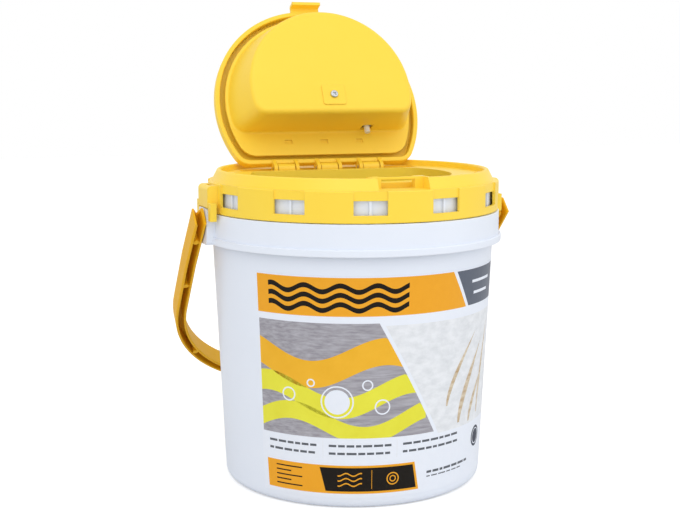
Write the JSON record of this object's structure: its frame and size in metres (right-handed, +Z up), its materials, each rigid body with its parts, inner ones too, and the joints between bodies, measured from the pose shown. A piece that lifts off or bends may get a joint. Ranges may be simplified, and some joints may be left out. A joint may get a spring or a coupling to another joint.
{
  "type": "aerated bait bucket",
  "caption": "Insulated bait bucket with a vented clip-on lid, a hinged hatch holding a battery air pump, and a swinging bail handle.",
  "frame": {"origin": "centre of the flat base of the pail", "axes": "+Z up through the lid; -Y to the front with the latch; +Y towards the hatch's hinge; the bail's pivots lie along X"},
  "size_m": [0.2678, 0.2884, 0.3881],
  "materials": {
    "white_pail": "satin",
    "foam": "matt closed-cell foam",
    "label": "printed film",
    "yellow_lid": "satin",
    "yellow_hatch": "satin",
    "yellow_bail": "satin",
    "white_case": "satin",
    "white_door": "satin",
    "gasket_rubber": "matt",
    "screw_steel": "zinc plated",
    "pin_steel": "bright",
    "cell_jacket": "satin",
    "contact_metal": "nickel plated",
    "switch_plastic": "satin",
    "motor_can": "plated",
    "pump_plastic": "satin",
    "diaphragm_rubber": "matt",
    "tube_silicone": "soft",
    "nozzle_white": "satin",
    "lead_wire": "insulated wire"
  },
  "bodies": {
    "pail": {"pail": "white_pail", "foam_sleeve": "foam", "foam_base": "foam", "pail_label": "label"},
    "lid": {"lid": "yellow_lid", "hinge_pins": "pin_steel"},
    "cover": {"hatch_cover": "yellow_hatch"},
    "tray": {"aerator_tray": "yellow_hatch", "tray_screw": "screw_steel", "aerator_case": "white_case", "case_gasket": "gasket_rubber", "case_plate": "white_case", "case_screws": "screw_steel", "battery_cells": "cell_jacket", "battery_contacts": "contact_metal", "switch_body": "switch_plastic", "pump_motor": "motor_can", "pump_arm": "pump_plastic", "pump_diaphragm": "diaphragm_rubber", "pump_body": "pump_plastic", "air_tube": "tube_silicone", "air_nozzle": "nozzle_white", "motor_leads": "lead_wire"},
    "battery_door": {"battery_door": "white_door"},
    "rocker": {"rocker_switch": "switch_plastic"},
    "crank": {"crank_wheel": "pump_plastic"},
    "bail": {"bail": "yellow_bail"}
  },
  "joints": [
    {"name": "lid_lift", "type": "slide", "parent": "pail", "child": "lid", "axis": [0, 0, 1], "range_m": [0, 0.06]},
    {"name": "cover_hinge", "type": "hinge", "parent": "lid", "child": "cover", "pos_m": [0, 0.06, 0.246], "axis": [1, 0, 0], "range_deg": [0, 115.5]},
    {"name": "tray_hinge", "type": "hinge", "parent": "cover", "child": "tray", "pos_m": [0, 0.06, 0.246], "axis": [-1, 0, 0], "range_deg": [-115.5, 0]},
    {"name": "bail_swing", "type": "hinge", "parent": "pail", "child": "bail", "pos_m": [0, 0, 0.207], "axis": [1, 0, 0], "range_deg": [-12, 282]},
    {"name": "battery_door_slide", "type": "slide", "parent": "tray", "child": "battery_door", "axis": [1, 0, 0], "range_m": [0, 0.012]},
    {"name": "rocker_tilt", "type": "hinge", "parent": "tray", "child": "rocker", "pos_m": [-0.055, 0.0895, 0.30505], "axis": [1, 0, 0], "range_deg": [0, 14]},
    {"name": "motor_spin", "type": "hinge", "parent": "tray", "child": "crank", "pos_m": [0.0485, 0.07255, 0.30483], "axis": [0, 0.4305, 0.9026], "continuous": true}
  ]
}
